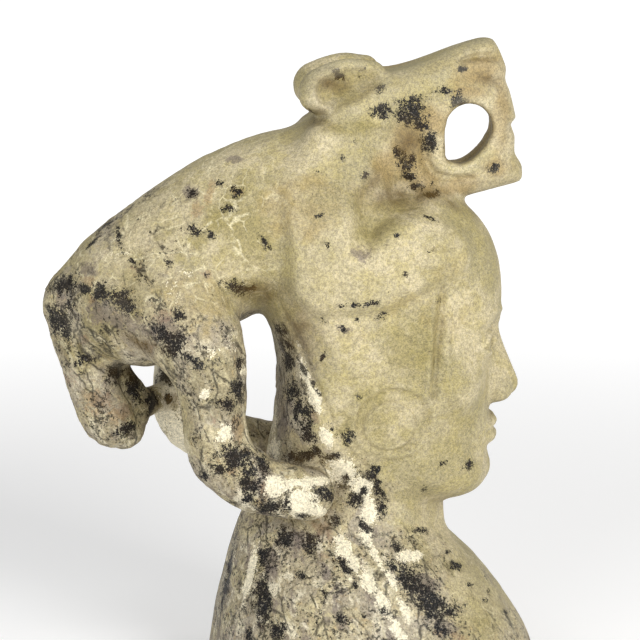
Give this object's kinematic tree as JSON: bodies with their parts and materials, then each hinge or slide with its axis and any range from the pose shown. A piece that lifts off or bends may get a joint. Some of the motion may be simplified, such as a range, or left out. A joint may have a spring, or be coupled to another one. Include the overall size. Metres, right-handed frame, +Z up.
{
  "type": "carved stone bust",
  "caption": "Carved stone bust of a warrior with a big cat crouching over the head, its open mouth a hole right through, cut flat below.",
  "frame": {"origin": "on the flat underside, under the centre of the whole form seen from above", "axes": "+Z up, +X the way the warrior and the cat look, +Y towards the warrior's left"},
  "size_m": [0.246, 0.1599, 0.3231],
  "materials": {
    "mottled_stone": "matte, fine-grained, mottled khaki, cream and black"
  },
  "bodies": {
    "root": {"warrior_bust": "mottled_stone"}
  },
  "joints": []
}
